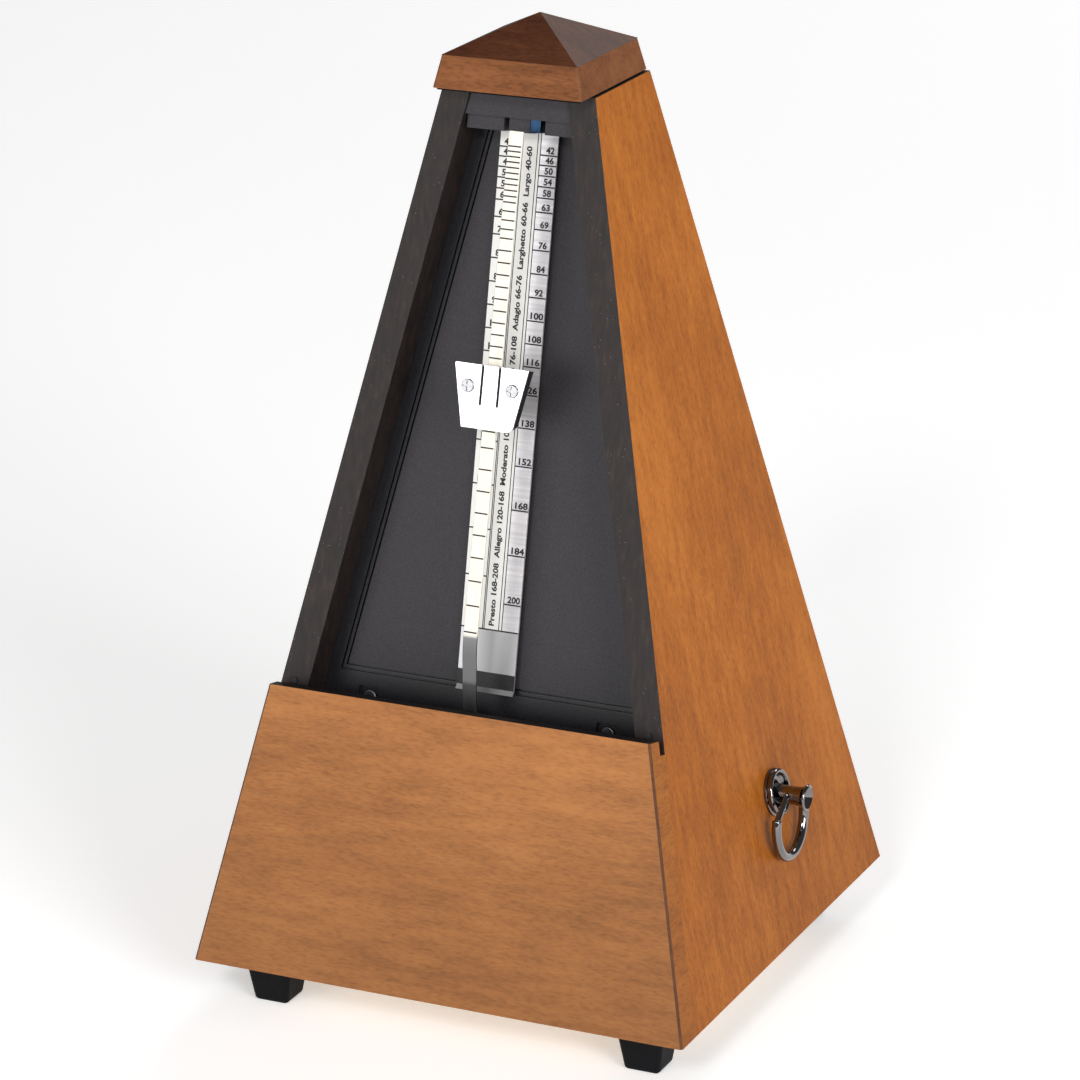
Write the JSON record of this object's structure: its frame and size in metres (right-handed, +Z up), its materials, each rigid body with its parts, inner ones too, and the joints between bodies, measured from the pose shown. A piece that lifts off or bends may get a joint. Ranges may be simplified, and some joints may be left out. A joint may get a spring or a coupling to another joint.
{
  "type": "mechanical metronome",
  "caption": "Wooden pyramid metronome with a swinging rod and sliding weight over a tempo scale, wound by a folding ring key.",
  "frame": {"origin": "on the table under the middle of the case's base", "axes": "+Z up, the scale and pendulum face -Y, the winding key is on the +X side"},
  "size_m": [0.1214, 0.12, 0.223],
  "materials": {
    "side_wood": "satin lacquered walnut stain",
    "front_wood": "matte lacquered walnut stain",
    "cap_wood": "satin dark walnut stain",
    "plain_wood": "raw plywood",
    "liner": "black",
    "foot_plastic": "black",
    "steel": "bright",
    "black_plastic": "fine grained black",
    "scale_metal": "satin, printed",
    "rod_steel": "pale lacquered",
    "dark_steel": "blued",
    "bob_metal": "dull cast",
    "brass": "satin",
    "spring_steel": "blued",
    "weight_chrome": "bright",
    "weight_black": "black",
    "key_chrome": "bright nickel"
  },
  "bodies": {
    "case": {"right_side_panel": "side_wood", "left_side_panel": "side_wood", "back_panel": "side_wood", "front_board": "front_wood", "base_board": "plain_wood", "glue_blocks": "plain_wood", "cap_liner": "liner", "cap": "cap_wood", "foot_front_left": "foot_plastic", "foot_front_right": "foot_plastic", "foot_rear_left": "foot_plastic", "foot_rear_right": "foot_plastic", "foot_screws": "steel", "face_panel": "black_plastic", "face_screws": "steel", "face_battens": "black_plastic", "scale_plate": "scale_metal", "latch_bridge": "black_plastic", "latch_clip": "dark_steel", "cover_pins": "steel", "key_escutcheon": "key_chrome", "movement_plate_left": "brass", "movement_plate_right": "brass", "movement_screws": "steel", "pillars": "brass", "pillar_screws": "steel", "verge_bridge": "brass", "verge_cock": "brass", "mainspring": "spring_steel", "spring_post": "brass"},
    "pendulum": {"pendulum_stem": "dark_steel", "counterweight": "bob_metal", "bob_rivet": "steel", "verge_arbor": "steel", "pendulum_hub": "brass", "pallets": "steel"},
    "rod": {"pendulum_rod": "rod_steel"},
    "weight": {"weight_plate": "weight_chrome", "weight_body": "weight_black", "weight_leaf": "steel", "weight_screws": "weight_chrome"},
    "key": {"key_barrel": "key_chrome", "winding_arbor": "steel", "ratchet_wheel": "steel"},
    "ring": {"key_ring": "key_chrome"},
    "great": {"great_wheel": "brass", "click_screw": "steel", "click_spring": "spring_steel"},
    "click": {"click": "steel"},
    "second": {"second_arbor": "steel", "second_pinion": "steel", "second_wheel": "brass"},
    "escape": {"escape_arbor": "steel", "escape_pinion": "steel", "escape_wheel": "brass"}
  },
  "joints": [
    {"name": "pendulum_swing", "type": "hinge", "parent": "case", "child": "pendulum", "pos_m": [0, -0.0399, 0.053], "axis": [0, 1, 0], "range_deg": [-18.7, 17.3]},
    {"name": "rod_release", "type": "hinge", "parent": "pendulum", "child": "rod", "pos_m": [0.00045, -0.0399, 0.08952], "axis": [0.9999, 0, -0.0122], "range_deg": [0, 12.05]},
    {"name": "weight_slide", "type": "slide", "parent": "rod", "child": "weight", "axis": [0.0119, 0.2087, 0.9779], "range_m": [-0.058, 0.0442]},
    {"name": "key_turn", "type": "hinge", "parent": "case", "child": "key", "pos_m": [0.057, 0.0093, 0.0456], "axis": [1, 0, 0], "continuous": true},
    {"name": "ring_fold", "type": "hinge", "parent": "key", "child": "ring", "pos_m": [0.057, 0.0093, 0.0456], "axis": [0, 0.9903, -0.1392], "range_deg": [-175, 0]},
    {"name": "great_wheel_turn", "type": "hinge", "parent": "case", "child": "great", "pos_m": [0.005, 0.0093, 0.0456], "axis": [1, 0, 0], "continuous": true},
    {"name": "click_lift", "type": "hinge", "parent": "great", "child": "click", "pos_m": [0.00705, 0.0233, 0.0456], "axis": [1, 0, 0], "range_deg": [-10, 0], "stiffness_Nm_per_rad": 0.003, "springref_deg": 8.59},
    {"name": "second_wheel_turn", "type": "hinge", "parent": "case", "child": "second", "pos_m": [0, -0.01767, 0.03549], "axis": [1, 0, 0], "continuous": true},
    {"name": "escape_wheel_turn", "type": "hinge", "parent": "case", "child": "escape", "pos_m": [-0.006, -0.02, 0.0498], "axis": [1, 0, 0], "continuous": true}
  ],
  "couplings": [
    {"joint": "second_wheel_turn", "follows": "great_wheel_turn", "ratio": -5},
    {"joint": "escape_wheel_turn", "follows": "great_wheel_turn", "ratio": 24}
  ]
}
